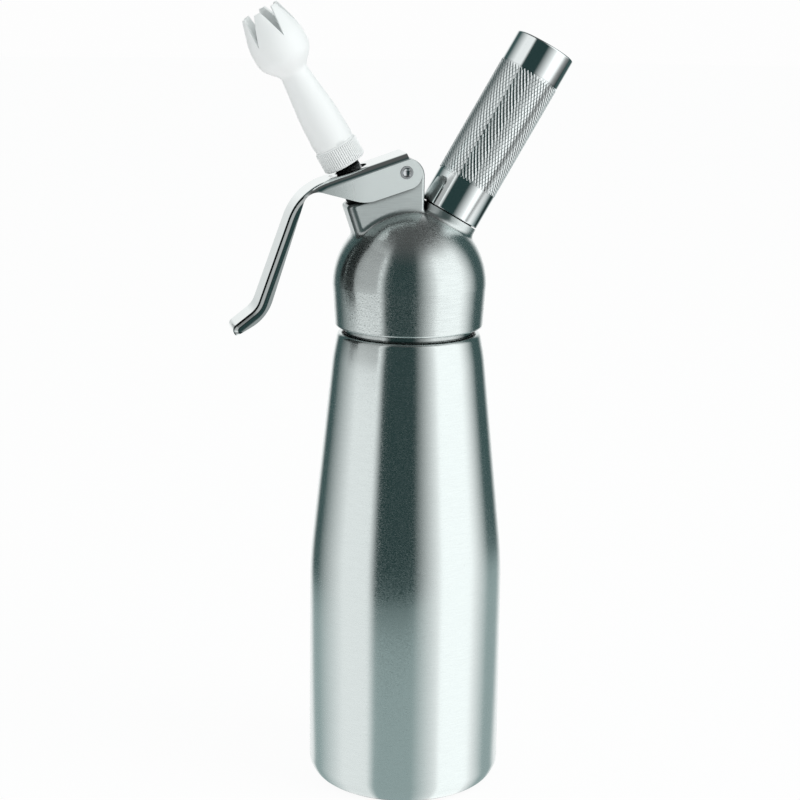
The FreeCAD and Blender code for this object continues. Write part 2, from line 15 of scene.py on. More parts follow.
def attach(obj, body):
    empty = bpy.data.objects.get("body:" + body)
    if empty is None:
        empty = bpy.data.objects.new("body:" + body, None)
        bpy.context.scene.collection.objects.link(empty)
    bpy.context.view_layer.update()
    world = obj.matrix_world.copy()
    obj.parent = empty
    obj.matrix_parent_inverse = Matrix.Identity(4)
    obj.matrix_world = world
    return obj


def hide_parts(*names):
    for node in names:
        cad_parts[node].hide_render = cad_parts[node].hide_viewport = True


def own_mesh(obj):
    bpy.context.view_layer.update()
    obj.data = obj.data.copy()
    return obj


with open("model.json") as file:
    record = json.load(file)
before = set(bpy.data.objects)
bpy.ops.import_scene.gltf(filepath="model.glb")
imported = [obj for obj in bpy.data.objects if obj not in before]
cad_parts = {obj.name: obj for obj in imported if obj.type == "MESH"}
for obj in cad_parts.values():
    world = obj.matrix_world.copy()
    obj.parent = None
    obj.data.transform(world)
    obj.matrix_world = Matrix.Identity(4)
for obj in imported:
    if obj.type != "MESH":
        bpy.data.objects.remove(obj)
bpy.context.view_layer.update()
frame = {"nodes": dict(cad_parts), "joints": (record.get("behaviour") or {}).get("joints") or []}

bl_info = {
    "name": "Whipped Cream Dispenser",
    "version": (1, 0, 0),
    "blender": (4, 5, 0),
    "location": "3D View > Sidebar > Dispenser",
    "description": "Dresses the packed dispenser with its finishes and fine detail",
    "category": "Object",
}

MM = 0.001
WELD = 0.001 * MM
NODES = frame["nodes"]


def linear(hex_colour):
    """Linear RGBA of an sRGB hex colour such as "#c8cdce"."""
    channels = [int(hex_colour[i:i + 2], 16) / 255 for i in (1, 3, 5)]
    return tuple(c / 12.92 if c <= 0.04045 else ((c + 0.055) / 1.055) ** 2.4 for c in channels) + (1.0,)


def find_joint(name):
    return next(j for j in frame["joints"] if j["name"] == name)


def joint_place(name):
    """Matrix whose origin lies on a joint's axis and whose Z runs along it."""
    joint = find_joint(name)
    lean = math.atan2(joint["axis"][0], joint["axis"][2])
    return Matrix.Translation(joint["pos_m"]) @ Matrix.Rotation(lean, 4, "Y")


UPRIGHT = joint_place("head_turn")
OUTLET = joint_place("tip_turn")
CHARGER = joint_place("holder_turn")


def length(name, description, default):
    return bpy.props.FloatProperty(name=name, description=description, default=default, unit="LENGTH", precision=5)


def colour(name, description, default):
    return bpy.props.FloatVectorProperty(
        name=name, description=description, default=linear(default), size=4, min=0, max=1, subtype="COLOR")


class DispenserSizes(bpy.types.PropertyGroup):
    knurl_start: length("Knurl start", "From the holder's open end to its knurl", 14.0 * MM)
    knurl_end: length("Knurl end", "From the knurl to the holder's closed end", 12.4 * MM)
    knurl_depth: length("Knurl depth", "Height of the knurl's diamonds", 0.15 * MM)
    knurl_count: bpy.props.IntProperty(name="Knurl count", description="Diamonds round the holder", default=54)
    knurl_flat: bpy.props.FloatProperty(name="Knurl flat", description="Flat share across a diamond", default=0.50)
    knurl_ridge: bpy.props.FloatProperty(name="Knurl ridge", description="Flat share along a diamond", default=0.86)
    rib_count: bpy.props.IntProperty(name="Rib count", description="Ribs round the tip's collar", default=60)
    rib_depth: length("Rib depth", "Height of the collar's ribs", 0.5 * MM)
    collar_height: length("Collar height", "Height of the tip's ribbed collar", 8.7 * MM)
    neck_pitch: length("Neck pitch", "Rise of the bottle's thread in one turn", 3.0 * MM)
    nipple_pitch: length("Nipple pitch", "Rise of the nipple's thread in one turn", 1.5 * MM)
    stem_pitch: length("Stem pitch", "Rise of the stem's thread in one turn", 1.25 * MM)
    brush_line: length("Brush line", "Width of a brush line, drawn coarser than the real 0.1 mm to show", 0.38 * MM)


class DispenserColours(bpy.types.PropertyGroup):
    aluminium: colour("Aluminium", "Brushed aluminium of the bottle and the head", "#dce4e3")
    polished: colour("Polished aluminium", "Polished aluminium of the charger holder", "#e6ecec")
    chrome: colour("Chrome", "Plating of the lever", "#e6edec")
    steel: colour("Steel", "Plain steel of pin, spring and charger", "#c2c6c8")
    brass: colour("Brass", "Nickel-plated brass of the charger's nipple", "#b9b4a6")
    white_plastic: colour("White plastic", "Moulded plastic of the tip", "#f6f8f8")
    black_plastic: colour("Black plastic", "Moulded plastic of the guide bush", "#0b0d0e")
    silicone: colour("Silicone", "White silicone of the gasket and the tip's seal", "#e9ebe8")
    rubber: colour("Rubber", "Black rubber of the small seals", "#121314")
    floor: colour("Floor", "Studio floor", "#fcfdfd")


# meshes

def cad_copy(node, place):
    """Merged copy of a CAD node's mesh, moved into the frame of the given place."""
    mesh = bmesh.new()
    mesh.from_mesh(NODES[node].data)
    bmesh.ops.remove_doubles(mesh, verts=mesh.verts, dist=WELD)
    bmesh.ops.transform(mesh, matrix=place.inverted(), verts=mesh.verts)
    return mesh


def keep_half_outline(mesh):
    """Leaves only the outline in the half plane where x is positive and y is 0."""
    everything = mesh.verts[:] + mesh.edges[:] + mesh.faces[:]
    bmesh.ops.bisect_plane(
        mesh, geom=everything, dist=2e-6, plane_co=(0, 0, 0), plane_no=(0, 1, 0), clear_inner=True, clear_outer=True)
    away = [v for v in mesh.verts if v.co.x < -1e-6 or abs(v.co.y) > 4e-6]
    bmesh.ops.delete(mesh, geom=away, context="VERTS")


def spin_round(mesh, steps):
    """Turns the outline in the mesh into a closed body about Z."""
    bmesh.ops.spin(
        mesh, geom=mesh.verts[:] + mesh.edges[:], cent=(0, 0, 0), axis=(0, 0, 1), angle=2 * math.pi, steps=steps,
        use_merge=True)
    bmesh.ops.remove_doubles(mesh, verts=mesh.verts, dist=WELD)
    bmesh.ops.recalc_face_normals(mesh, faces=mesh.faces)


def round_copies(mesh, geom, count):
    """Copies of the geometry round Z, evenly spaced."""
    bmesh.ops.spin(
        mesh, geom=geom, cent=(0, 0, 0), axis=(0, 0, 1), angle=2 * math.pi * (count - 1) / count, steps=count - 1,
        use_duplicate=True)


def cut_thread(mesh, crest, depth, pitch, reach):
    """Draws the wall below the mesh's top in to the root of a thread and winds a four-sided ridge round it."""
    top = max(v.co.z for v in mesh.verts)
    root = crest - depth
    for v in mesh.verts:
        distance = math.hypot(v.co.x, v.co.y)
        if root < distance < crest + THREAD_SLACK and v.co.z > top - reach - THREAD_SLACK / 2:
            v.co.xy *= root / distance
    turns = int((reach - pitch) / pitch)
    ridge = bmesh.new()
    outline = bmesh.ops.create_circle(
        ridge, segments=4, radius=1, matrix=Matrix.Translation((root, 0, top - (THREAD_LEAD_IN + turns) * pitch))
        @ Matrix.Diagonal((depth * RIDGE_HEIGHT, 1, pitch * RIDGE_HALF_WIDTH, 1))
        @ Matrix.Rotation(math.pi / 2, 4, "X"))["verts"]
    bmesh.ops.spin(
        ridge, geom=outline + ridge.edges[:], cent=(0, 0, 0), axis=(0, 0, 1), dvec=(0, 0, pitch / THREAD_STEPS),
        angle=2 * math.pi * turns, steps=THREAD_STEPS * turns)
    bmesh.ops.holes_fill(ridge, edges=[e for e in ridge.edges if e.is_boundary])
    bmesh.ops.recalc_face_normals(ridge, faces=ridge.faces)
    data = bpy.data.meshes.new("ridge")
    ridge.to_mesh(data)
    ridge.free()
    mesh.from_mesh(data)
    bpy.data.meshes.remove(data)


def finish_piece(mesh, name, place, body, material, sharp_angle=30.0):
    """Writes the mesh as an object in its place, shades it and lets it ride on its body."""
    bmesh.ops.transform(mesh, matrix=place, verts=mesh.verts)
    data = bpy.data.meshes.new(name)
    mesh.to_mesh(data)
    mesh.free()
    data.shade_smooth()
    data.set_sharp_from_angle(angle=math.radians(sharp_angle))
    data.materials.append(material)
    piece = bpy.data.objects.new(name, data)
    bpy.context.scene.collection.objects.link(piece)
    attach(piece, body)
    return piece


# materials

def add(tree, kind, inputs=None, **settings):
    """A node with its settings, and its inputs set to values or linked to other nodes' sockets."""
    node = tree.nodes.new(kind)
    for key, value in settings.items():
        setattr(node, key, value)
    for key, value in (inputs or {}).items():
        if isinstance(value, bpy.types.NodeSocket):
            tree.links.new(value, node.inputs[key])
        else:
            node.inputs[key].default_value = value
    return node


def new_material(name):
    material = bpy.data.materials.new(name)
    material.use_nodes = True
    tree = material.node_tree
    return material, tree, tree.nodes["Principled BSDF"]


def piece_coordinates(tree, place, scale):
    """Object coordinates turned so that Z runs along the piece's axis, then scaled."""
    source = add(tree, "ShaderNodeTexCoord")
    lean = place.to_euler().y
    turned = add(tree, "ShaderNodeMapping", {"Vector": source.outputs["Object"], "Rotation": (0, -lean, 0)})
    return add(tree, "ShaderNodeMapping", {"Vector": turned.outputs["Vector"], "Scale": scale}).outputs["Vector"]


# painted shade: how open a closed corner and a free face are, and the share of light left in a closed corner, painted
# into its colour
OPENNESS = (0.45, 0.85)
METAL_CREVICE_SHADE = 0.03
PLASTIC_CREVICE_SHADE = 0.85
BRUSH_LENGTH = 6.25 * MM
# patches of wear in a metre, each about 11 mm across
WEAR_SCALE = 90.0
PLASTIC_IOR = 1.49
# how squarely a face looks across the part before it counts as a flat
FLAT_FACING = (0.985, 0.998)
# how far a face stands out of the ball before it is soft, and how far above the ball's centre that begins
BALL_BLEND = (0.05 * MM, 0.8 * MM)
BALL_RISE = 2.0 * MM
# how far a face turns from the outside before it counts as inside, its share of colour there as painted shade, and its
# roughness there
INSIDE_FACING = (-0.45, -0.75)
INSIDE_SHADE_SHARE = 0.10
INSIDE_ROUGHNESS = 0.45


def painted_crevice_shade(tree, reach, dark):
    """Share of light that gets into a place, as painted shade: 1 in the open, falling to dark inside joints and
    corners.
    """
    nearby = add(tree, "ShaderNodeAmbientOcclusion", {"Distance": reach}, samples=8)
    painted_shade_factor = add(tree, "ShaderNodeMapRange", {
        "Value": nearby.outputs["AO"], "From Min": OPENNESS[0], "From Max": OPENNESS[1], "To Min": dark, "To Max": 1.0})
    return painted_shade_factor.outputs["Result"]


def shaded_colour(tree, tint, factors):
    """The colour scaled by each of the factors."""
    colour_now = tint if isinstance(tint, bpy.types.NodeSocket) else tint[:3]
    for factor in factors:
        scaled = add(tree, "ShaderNodeVectorMath", {0: colour_now, "Scale": factor}, operation="SCALE")
        colour_now = scaled.outputs["Vector"]
    return colour_now


def brushed_metal(name, place, tint, roughness, line, depth, streak, reach, sparkle):
    """Metal finished on a lathe with abrasive: fine lines round the axis, grains that glint in the dark parts, and
    painted shade in joints and corners.
    """
    material, tree, shader = new_material(name)
    shader.inputs["Metallic"].default_value = 1.0
    # painted shade: colour and reflection darken in joints and corners
    painted_shade_factor = painted_crevice_shade(tree, reach, METAL_CREVICE_SHADE)
    tree.links.new(painted_shade_factor, shader.inputs["Specular Tint"])
    fine = add(tree, "ShaderNodeTexNoise", {
        "Vector": piece_coordinates(tree, place, (1 / BRUSH_LENGTH, 1 / BRUSH_LENGTH, 1 / line)),
        "Scale": 1.0, "Detail": 4.0, "Roughness": 0.7})
    shade = add(tree, "ShaderNodeMapRange", {
        "Value": fine.outputs["Fac"], "From Min": 0.3, "From Max": 0.7, "To Min": 1 - streak, "To Max": 1.0})
    tinted = shaded_colour(tree, tint, (shade.outputs["Result"], painted_shade_factor))
    tree.links.new(tinted, shader.inputs["Base Color"])
    grains = add(tree, "ShaderNodeTexNoise", {
        "Vector": piece_coordinates(tree, place, (0.5 / line, 0.5 / line, 1.6 / line)), "Scale": 1.0, "Detail": 3.0})
    rough = add(tree, "ShaderNodeMapRange", {
        "Value": grains.outputs["Fac"], "From Min": 0.35, "From Max": 0.65,
        "To Min": roughness * (1 - sparkle), "To Max": roughness * (1 + sparkle)})
    tree.links.new(rough.outputs["Result"], shader.inputs["Roughness"])
    bump = add(tree, "ShaderNodeBump", {"Height": fine.outputs["Fac"], "Strength": 1.0, "Distance": depth})
    tree.links.new(bump.outputs["Normal"], shader.inputs["Normal"])
    return material


def stretch_glints(material):
    """Draws highlights out across the brush lines, as lines that run round a piece do."""
    shader = material.node_tree.nodes["Principled BSDF"]
    shader.inputs["Anisotropic"].default_value = 0.7
    shader.inputs["Anisotropic Rotation"].default_value = 0.25


def polished_metal(name, tint, roughness, wear, reach=1.5 * MM):
    """Polished or plated metal: near mirror, with faint cloudy wear from handling, and painted shade in joints and
    corners.
    """
    material, tree, shader = new_material(name)
    shader.inputs["Metallic"].default_value = 1.0
    # painted shade: colour and reflection darken in joints and corners
    painted_shade_factor = painted_crevice_shade(tree, reach, METAL_CREVICE_SHADE)
    tree.links.new(shaded_colour(tree, tint, (painted_shade_factor,)), shader.inputs["Base Color"])
    tree.links.new(painted_shade_factor, shader.inputs["Specular Tint"])
    source = add(tree, "ShaderNodeTexCoord")
    cloud = add(tree, "ShaderNodeTexNoise", {"Vector": source.outputs["Object"], "Scale": WEAR_SCALE, "Detail": 4.0})
    rough = add(tree, "ShaderNodeMapRange", {
        "Value": cloud.outputs["Fac"], "From Min": 0.3, "From Max": 0.7,
        "To Min": roughness, "To Max": roughness + wear})
    tree.links.new(rough.outputs["Result"], shader.inputs["Roughness"])
    return material


def satin_flats(material, satin, metal_share, ball=None, fade=None):
    """Turns the flats across the part's width satin, and softens what stands out of the ball, where one is given.

    Where a fade is given, the satin sets in between its two places along X.
    """
    tree = material.node_tree
    shader = tree.nodes["Principled BSDF"]
    source = add(tree, "ShaderNodeTexCoord")
    facing = add(tree, "ShaderNodeSeparateXYZ", {"Vector": source.outputs["Normal"]})
    across = add(tree, "ShaderNodeMath", {0: facing.outputs["Y"]}, operation="ABSOLUTE")
    flat = add(tree, "ShaderNodeMapRange", {
        "Value": across.outputs["Value"], "From Min": FLAT_FACING[0], "From Max": FLAT_FACING[1],
        "To Min": 0.0, "To Max": 1.0}, interpolation_type="SMOOTHSTEP").outputs["Result"]
    if fade is not None:
        place = add(tree, "ShaderNodeSeparateXYZ", {"Vector": source.outputs["Object"]})
        begun = add(tree, "ShaderNodeMapRange", {
            "Value": place.outputs["X"], "From Min": fade[0], "From Max": fade[1], "To Min": 0.0, "To Max": 1.0},
            interpolation_type="SMOOTHSTEP").outputs["Result"]
        flat = add(tree, "ShaderNodeMath", {0: flat, 1: begun}, operation="MULTIPLY").outputs["Value"]
    soft = flat
    if ball is not None:
        centre, radius = ball
        reach = add(tree, "ShaderNodeVectorMath", {0: source.outputs["Object"], 1: centre}, operation="DISTANCE")
        standing = add(tree, "ShaderNodeMapRange", {
            "Value": reach.outputs["Value"], "From Min": radius + BALL_BLEND[0], "From Max": radius + BALL_BLEND[1],
            "To Min": 0.0, "To Max": 1.0})
        height = add(tree, "ShaderNodeSeparateXYZ", {"Vector": source.outputs["Object"]})
        above = add(tree, "ShaderNodeMath", {
            0: height.outputs["Z"], 1: centre[2] + BALL_RISE}, operation="GREATER_THAN")
        outside = add(tree, "ShaderNodeMath", {
            0: standing.outputs["Result"], 1: above.outputs["Value"]}, operation="MULTIPLY").outputs["Value"]
        flat = add(tree, "ShaderNodeMath", {0: flat, 1: outside}, operation="MULTIPLY").outputs["Value"]
        soft = outside
    polished = shader.inputs["Roughness"].links[0].from_socket
    mix = add(tree, "ShaderNodeMix", {"Factor": soft, "A": polished, "B": satin}, data_type="FLOAT")
    tree.links.new(mix.outputs["Result"], shader.inputs["Roughness"])
    metal = add(tree, "ShaderNodeMapRange", {"Value": flat, "To Min": 1.0, "To Max": metal_share})
    tree.links.new(metal.outputs["Result"], shader.inputs["Metallic"])


def dull_and_shaded_inside(material, outward):
    """Leaves the faces turned away from the given direction dull, as plating hardly gets inside a channel, and dark
    with painted shade.
    """
    tree = material.node_tree
    shader = tree.nodes["Principled BSDF"]
    source = add(tree, "ShaderNodeTexCoord")
    along = add(tree, "ShaderNodeVectorMath", {0: source.outputs["Normal"], 1: outward}, operation="DOT_PRODUCT")
    inside = add(tree, "ShaderNodeMapRange", {
        "Value": along.outputs["Value"], "From Min": INSIDE_FACING[0], "From Max": INSIDE_FACING[1],
        "To Min": 0.0, "To Max": 1.0})
    bright = shader.inputs["Base Color"].links[0].from_socket
    # painted shade: the inside faces' colour is darkened
    share = add(tree, "ShaderNodeMapRange", {"Value": inside.outputs["Result"], "To Min": 1.0, "To Max": INSIDE_SHADE_SHARE})
    tree.links.new(shaded_colour(tree, bright, (share.outputs["Result"],)), shader.inputs["Base Color"])
    polished = shader.inputs["Roughness"].links[0].from_socket
    mix = add(tree, "ShaderNodeMix", {
        "Factor": inside.outputs["Result"], "A": polished, "B": INSIDE_ROUGHNESS}, data_type="FLOAT")
    tree.links.new(mix.outputs["Result"], shader.inputs["Roughness"])


def moulded_plastic(name, tint, roughness, grain, scatter=0.0, reach=0.6 * MM):
    """Injection moulded plastic or rubber: soft gloss with a fine moulding grain, and painted shade in joints and
    corners.
    """
    material, tree, shader = new_material(name)
    # painted shade: the colour darkens in joints and corners
    tree.links.new(shaded_colour(tree, tint, (painted_crevice_shade(tree, reach, PLASTIC_CREVICE_SHADE),)), shader.inputs["Base Color"])
    shader.inputs["IOR"].default_value = PLASTIC_IOR
    if scatter:
        shader.inputs["Subsurface Weight"].default_value = scatter
        shader.inputs["Subsurface Radius"].default_value = (1.0, 1.0, 1.0)
        shader.inputs["Subsurface Scale"].default_value = 0.5 * MM
    source = add(tree, "ShaderNodeTexCoord")
    pores = add(tree, "ShaderNodeTexNoise", {"Vector": source.outputs["Object"], "Scale": 1 / grain, "Detail": 3.0})
    rough = add(tree, "ShaderNodeMapRange", {
        "Value": pores.outputs["Fac"], "From Min": 0.3, "From Max": 0.7,
        "To Min": roughness - 0.05, "To Max": roughness + 0.05})
    tree.links.new(rough.outputs["Result"], shader.inputs["Roughness"])
    bump = add(tree, "ShaderNodeBump", {"Height": pores.outputs["Fac"], "Strength": 0.3, "Distance": grain / 40})
    tree.links.new(bump.outputs["Normal"], shader.inputs["Normal"])
    return material


def dress(nodes, material):
    """Gives CAD nodes their finish."""
    for node in nodes:
        data = NODES[node].data
        data.materials.clear()
        data.materials.append(material)


# pieces

# steps in a turn, slack when the wall is found, turns left plain at the top, and the ridge against depth and pitch
THREAD_STEPS = 48
THREAD_SLACK = 0.02 * MM
THREAD_LEAD_IN = 0.75
RIDGE_HEIGHT = 0.95
RIDGE_HALF_WIDTH = 0.44
# each thread's crest radius, depth and reach below the piece's top
NECK_THREAD = (25.6 * MM, 0.75 * MM, 12.6 * MM)
NIPPLE_THREAD = (10.3 * MM, 0.5 * MM, 12.2 * MM)
STEM_THREAD = (5.0 * MM, 0.4 * MM, 16.2 * MM)
HEAD_CENTRE = (0.0, 0.0, 206.0 * MM)
HEAD_RADIUS = 30.4 * MM
LEVER_OUTWARD = (-0.6, 0.0, 0.8)
CHEEK_FADE = (-37.0 * MM, -17.0 * MM)
PETAL_REACH = 13.0 * MM
PETAL_ROUNDING = 0.25 * MM
RIB_SHARE = 0.8
KNURL_HELIX = 30.0
KNURL_SHARP = 20.0
PETAL_SHARP = math.radians(35)
BOTTLE_STEPS = 256
HOLDER_STEPS = 192


class DISPENSER_OT_bottle(bpy.types.Operator):
    """Makes the brushed bottle"""
    bl_idname = "dispenser.bottle"
    bl_label = "Bottle"

    def execute(self, context):
        sizes = context.scene.dispenser_sizes
        colours = context.scene.dispenser_colours
        # aluminium drawn in one piece and brushed while turning: fine rings that pull each highlight into a tall band,
        # and painted shade in its joints and under the head's rim
        finish = brushed_metal(
            "brushed_aluminium", UPRIGHT, colours.aluminium, roughness=0.19, line=sizes.brush_line, depth=0.005 * MM,
            streak=0.06, reach=1.8 * MM, sparkle=0.45)
        stretch_glints(finish)
        mesh = cad_copy("bottle_shell", UPRIGHT)
        keep_half_outline(mesh)
        spin_round(mesh, BOTTLE_STEPS)
        crest, depth, reach = NECK_THREAD
        cut_thread(mesh, crest, depth, sizes.neck_pitch, reach)
        piece = finish_piece(mesh, "bottle", UPRIGHT, "bottle", finish)
        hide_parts("bottle_shell")
        return {"FINISHED"}


class DISPENSER_OT_head(bpy.types.Operator):
    """Finishes the cast head and its gasket"""
    bl_idname = "dispenser.head"
    bl_label = "Head"

    def execute(self, context):
        sizes = context.scene.dispenser_sizes
        colours = context.scene.dispenser_colours
        # cast aluminium, brushed on the ball and skirt: a softer sheen than the bottle's, a satin boss and ear, and
        # painted shade at the boss's foot and in the other joints
        finish = brushed_metal(
            "turned_aluminium", UPRIGHT, colours.aluminium, roughness=0.23, line=sizes.brush_line, depth=0.0028 * MM,
            streak=0.14, reach=3.5 * MM, sparkle=0.45)
        stretch_glints(finish)
        satin_flats(finish, satin=0.36, metal_share=0.7, ball=(HEAD_CENTRE, HEAD_RADIUS))
        dress(["head_casting"], finish)
        # moulded silicone: milky and matt
        dress(["head_gasket"], moulded_plastic("white_silicone", colours.silicone, 0.5, 0.2 * MM))
        return {"FINISHED"}


class DISPENSER_OT_lever(bpy.types.Operator):
    """Finishes the pressed lever and its pin"""
    bl_idname = "dispenser.lever"
    bl_label = "Lever"

    def execute(self, context):
        colours = context.scene.dispenser_colours
        # chrome plate on pressed steel: a near mirror outside, satin on the sheared cheeks, dull inside the channel and
        # darkened there with painted shade
        chrome = polished_metal("chrome_plate", colours.chrome, roughness=0.06, wear=0.05)
        dull_and_shaded_inside(chrome, LEVER_OUTWARD)
        satin_flats(chrome, satin=0.36, metal_share=0.5, fade=CHEEK_FADE)
        dress(["lever"], chrome)
        # ground steel: a greyer, slightly softer mirror
        dress(["lever_pin"], polished_metal("pin_steel", colours.steel, roughness=0.12, wear=0.1))
        return {"FINISHED"}


class DISPENSER_OT_valve(bpy.types.Operator):
    """Finishes the outlet valve: stem, seals, spring and bush"""
    bl_idname = "dispenser.valve"
    bl_label = "Outlet valve"

    def execute(self, context):
        colours = context.scene.dispenser_colours
        # stainless steel, turned: bright where light gets in, and near black down in the slot with painted shade
        steel = polished_metal("turned_steel", colours.steel, roughness=0.08, wear=0.06, reach=4.0 * MM)
        dress(["valve_head"], steel)
        mesh = cad_copy("valve_stem", OUTLET)
        crest, depth, reach = STEM_THREAD
        cut_thread(mesh, crest, depth, context.scene.dispenser_sizes.stem_pitch, reach)
        stem = finish_piece(mesh, "threaded_stem", OUTLET, "valve", steel)
        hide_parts("valve_stem")
        # moulded rubber: black and matt
        dress(["valve_seal", "stem_o_ring"], moulded_plastic("black_rubber", colours.rubber, 0.6, 0.15 * MM))
        # drawn spring wire: grey with a soft shine along each coil
        self.make_spring(polished_metal("spring_wire", colours.steel, roughness=0.2, wear=0.1))
        # moulded acetal: black with a slight waxy gloss
        dress(["guide_bush"], moulded_plastic("black_acetal", colours.black_plastic, 0.4, 0.2 * MM))
        return {"FINISHED"}

    def make_spring(self, wire):
        """The return spring, copied from its CAD node into a mesh of its own that rides on the head."""
        mesh = cad_copy("valve_spring", OUTLET)
        spring = finish_piece(mesh, "return_spring", OUTLET, "head", wire)
        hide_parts("valve_spring")
        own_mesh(spring)


class DISPENSER_OT_tip(bpy.types.Operator):
    """Makes the white tip with its ribbed collar"""
    bl_idname = "dispenser.tip"
    bl_label = "Tip"

    def execute(self, context):
        sizes = context.scene.dispenser_sizes
        colours = context.scene.dispenser_colours
        # moulded polypropylene: white, with a soft gloss and a little light let into the edges
        finish = moulded_plastic("white_polypropylene", colours.white_plastic, 0.38, 0.3 * MM, scatter=0.15)
        mesh = cad_copy("decorating_tip", OUTLET)
        self.round_petals(mesh)
        self.add_ribs(mesh, sizes)
        piece = finish_piece(mesh, "tulip_tip", OUTLET, "tip", finish)
        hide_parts("decorating_tip")
        # moulded silicone, as the gasket's
        dress(["tip_seal"], moulded_plastic("seal_silicone", colours.silicone, 0.5, 0.2 * MM))
        return {"FINISHED"}

    def round_petals(self, mesh):
        """Softens the sharp edges of the petals."""
        top = max(v.co.z for v in mesh.verts)
        edges = [e for e in mesh.edges if len(e.link_faces) == 2 and e.calc_face_angle() > PETAL_SHARP
                 and all(v.co.z > top - PETAL_REACH for v in e.verts)]
        bmesh.ops.bevel(mesh, geom=edges, offset=PETAL_ROUNDING, segments=2, profile=0.5, affect="EDGES", material=-1,
                        clamp_overlap=True)

    def add_ribs(self, mesh, sizes):
        """Draws the collar in by the ribs' depth and stands half-round ribs on it."""
        low = min(v.co.z for v in mesh.verts)
        collar = [v for v in mesh.verts if v.co.z < low + sizes.collar_height + 1e-5]
        radius = max(math.hypot(v.co.x, v.co.y) for v in collar)
        for v in collar:
            distance = math.hypot(v.co.x, v.co.y)
            if distance > radius - 3 * sizes.rib_depth:
                v.co.xy *= 1 - sizes.rib_depth / distance
        width = math.pi * radius / sizes.rib_count * RIB_SHARE
        rib = bmesh.ops.create_cone(
            mesh, cap_ends=True, segments=8, radius1=1, radius2=1, depth=1,
            matrix=Matrix.Translation((radius - sizes.rib_depth, 0, low + sizes.collar_height / 2))
            @ Matrix.Diagonal((sizes.rib_depth, width, sizes.collar_height - 2 * sizes.rib_depth, 1)))["verts"]
        ends = [e for v in rib for e in v.link_edges if abs(v.co.z - e.other_vert(v).co.z) < 1e-7]
        bmesh.ops.bevel(mesh, geom=list(set(ends)), offset=sizes.rib_depth / 2, segments=1, profile=0.5,
                        affect="EDGES", material=-1)
        rib = [v for v in mesh.verts if abs(v.co.y) < width * 1.01 and v.co.x > radius - 2.1 * sizes.rib_depth
               and low < v.co.z < low + sizes.collar_height and v not in collar]
        edges = {e for v in rib for e in v.link_edges}
        faces = {f for v in rib for f in v.link_faces}
        geometry = list(rib) + list(edges) + list(faces)
        round_copies(mesh, geometry, sizes.rib_count)


class DISPENSER_OT_charger(bpy.types.Operator):
    """Finishes what sits under the charger holder"""
    bl_idname = "dispenser.charger"
    bl_label = "Charger and nipple"

    def execute(self, context):
        colours = context.scene.dispenser_colours
        # brass under nickel plate: a warm grey shine, with painted shade in the gap under the holder
        brass = polished_metal("nipple_brass", colours.brass, roughness=0.18, wear=0.1)
        dress(["check_valve_retainer"], brass)
        mesh = cad_copy("charger_adapter", CHARGER)
        crest, depth, reach = NIPPLE_THREAD
        cut_thread(mesh, crest, depth, context.scene.dispenser_sizes.nipple_pitch, reach)
        nipple = finish_piece(mesh, "threaded_nipple", CHARGER, "head", brass)
        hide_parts("charger_adapter")
        # ground needle steel: grey and bright
        dress(["piercing_pin"], polished_metal("needle_steel", colours.steel, roughness=0.15, wear=0.1))
        # moulded rubber: black and matt
        dress(["charger_seal", "check_valve"], moulded_plastic("seal_rubber", colours.rubber, 0.6, 0.15 * MM))
        # drawn steel, tumbled: a blurred grey shine
        charger_steel = polished_metal("charger_steel", colours.steel, roughness=0.25, wear=0.1)
        dress(["charger_cylinder", "charger_cap"], charger_steel)
        return {"FINISHED"}


